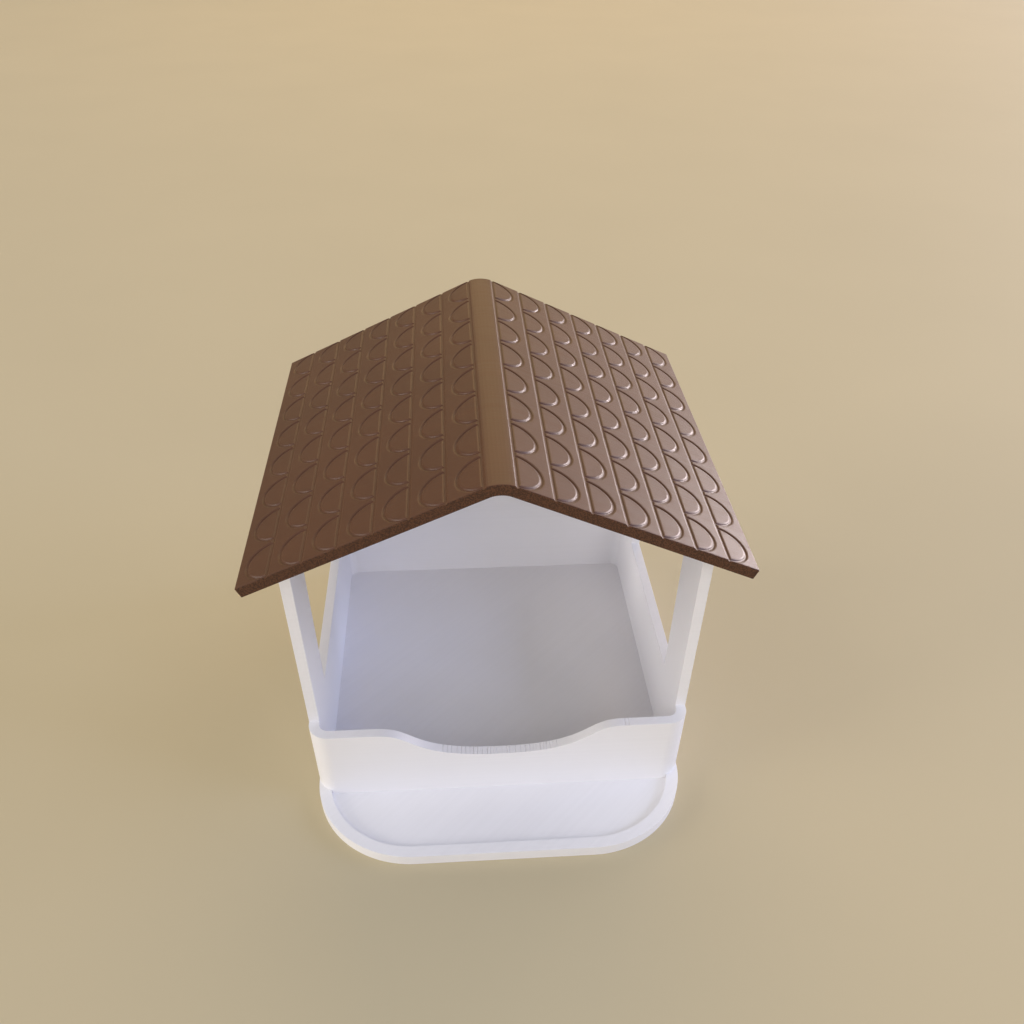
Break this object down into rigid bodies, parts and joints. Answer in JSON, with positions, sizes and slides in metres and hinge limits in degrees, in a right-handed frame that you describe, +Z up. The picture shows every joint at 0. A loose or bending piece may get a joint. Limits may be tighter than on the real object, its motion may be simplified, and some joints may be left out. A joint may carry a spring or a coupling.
{
  "type": "bird feeder",
  "caption": "House-shaped bird feeder: square open-sided house with a scalloped front rim and a perch tray, under a lift-off gable roof with a fish-scale pattern.",
  "frame": {"origin": "centre of the square house plan on the flat underside, where the feeder stands on the table", "axes": "+Z up, +Y along the ridge towards the solid back wall, so the perch tray points along -Y, +X to the right seen from the front"},
  "size_m": [0.1714, 0.1887, 0.1542],
  "materials": {
    "house_plastic": "white extruded plastic laid down in fine level layers, slightly satin",
    "roof_plastic": "brown extruded plastic laid down in fine layers square to the ridge, matte"
  },
  "bodies": {
    "house": {"house": "house_plastic"},
    "roof": {"roof": "roof_plastic"}
  },
  "joints": [
    {"name": "roof_lift", "type": "slide", "parent": "house", "child": "roof", "axis": [0, 0, 1], "range_m": [0, 0.1]}
  ]
}
